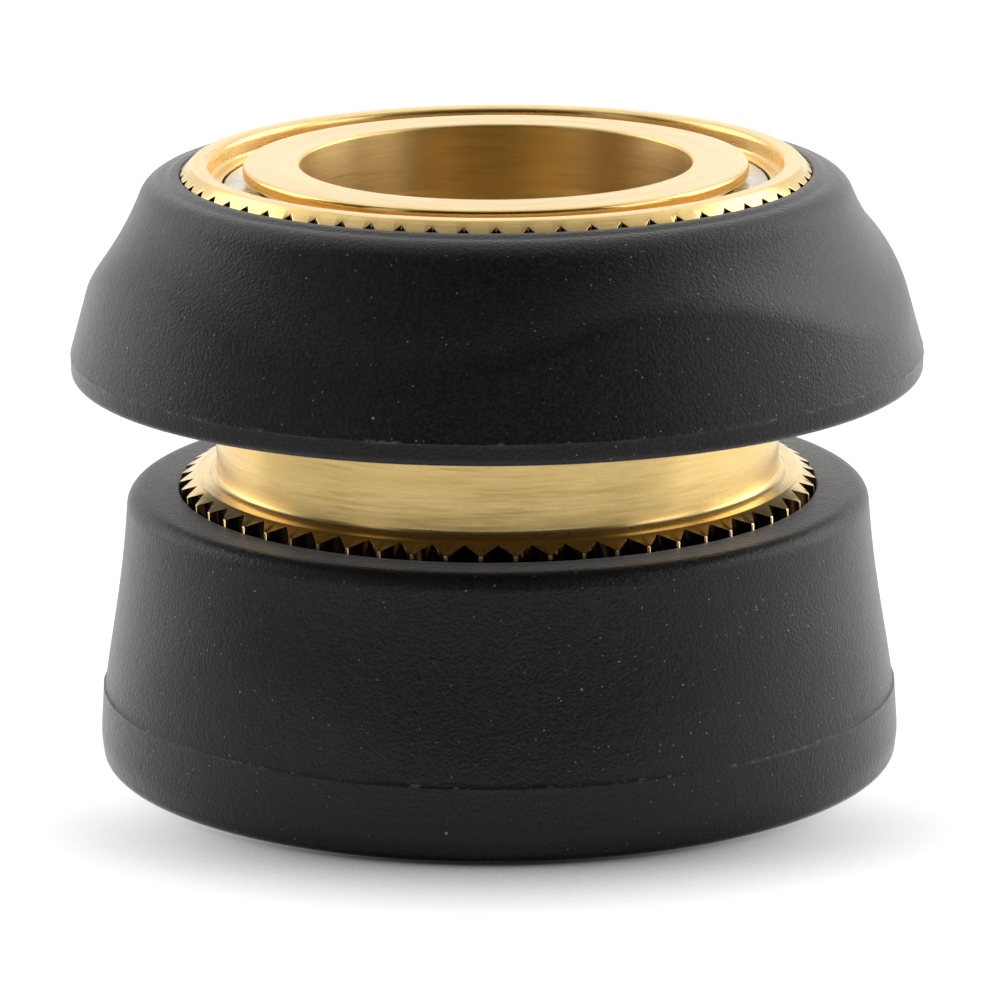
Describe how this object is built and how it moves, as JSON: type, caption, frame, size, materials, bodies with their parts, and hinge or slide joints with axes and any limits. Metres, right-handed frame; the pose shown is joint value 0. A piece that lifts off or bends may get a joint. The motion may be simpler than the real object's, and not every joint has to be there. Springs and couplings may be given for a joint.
{
  "type": "hose connector",
  "caption": "Female hose connector: sleeve-operated quick coupling with ball lock, rubber grips and a threaded hose end.",
  "frame": {"origin": "centre of the lower grip's foot, on the connector's axis", "axes": "+Z along the axis from the hose thread to the plug socket, -Y towards the viewer of the picture"},
  "size_m": [0.0414, 0.0414, 0.0295],
  "materials": {
    "brass": "turned, satin",
    "grip_rubber": "matte moulded",
    "seal_rubber": "smooth",
    "steel": "bright drawn"
  },
  "bodies": {
    "base": {"base_body": "brass", "socket_tube": "brass", "base_grip": "grip_rubber", "return_spring": "steel", "socket_o_ring": "seal_rubber", "hose_washer": "seal_rubber"},
    "ring": {"snap_ring": "steel"},
    "sleeve": {"release_sleeve": "brass", "sleeve_grip": "grip_rubber"},
    "ball_1": {"lock_ball_1": "steel"},
    "ball_2": {"lock_ball_2": "steel"},
    "ball_3": {"lock_ball_3": "steel"},
    "ball_4": {"lock_ball_4": "steel"},
    "ball_5": {"lock_ball_5": "steel"},
    "ball_6": {"lock_ball_6": "steel"}
  },
  "joints": [
    {"name": "ring_turn", "type": "hinge", "parent": "base", "child": "ring", "pos_m": [0, 0, 0.02805], "axis": [0, 0, 1], "continuous": true},
    {"name": "sleeve_slide", "type": "slide", "parent": "ring", "child": "sleeve", "axis": [0, 0, -1], "range_m": [0, 0.003], "stiffness_N_per_m": 2000, "springref_m": -0.004, "deforming": ["return_spring"]},
    {"name": "ball_1_slide", "type": "slide", "parent": "base", "child": "ball_1", "axis": [1, 0, 0], "range_m": [0, 0.000731]},
    {"name": "ball_2_slide", "type": "slide", "parent": "base", "child": "ball_2", "axis": [0.5, 0.866, 0], "range_m": [0, 0.000731]},
    {"name": "ball_3_slide", "type": "slide", "parent": "base", "child": "ball_3", "axis": [-0.5, 0.866, 0], "range_m": [0, 0.000731]},
    {"name": "ball_4_slide", "type": "slide", "parent": "base", "child": "ball_4", "axis": [-1, 0, 0], "range_m": [0, 0.000731]},
    {"name": "ball_5_slide", "type": "slide", "parent": "base", "child": "ball_5", "axis": [-0.5, -0.866, 0], "range_m": [0, 0.000731]},
    {"name": "ball_6_slide", "type": "slide", "parent": "base", "child": "ball_6", "axis": [0.5, -0.866, 0], "range_m": [0, 0.000731]}
  ],
  "couplings": [
    {"joint": "ball_1_slide", "follows": "sleeve_slide", "ratio": 0.24333},
    {"joint": "ball_2_slide", "follows": "sleeve_slide", "ratio": 0.24333},
    {"joint": "ball_3_slide", "follows": "sleeve_slide", "ratio": 0.24333},
    {"joint": "ball_4_slide", "follows": "sleeve_slide", "ratio": 0.24333},
    {"joint": "ball_5_slide", "follows": "sleeve_slide", "ratio": 0.24333},
    {"joint": "ball_6_slide", "follows": "sleeve_slide", "ratio": 0.24333}
  ]
}
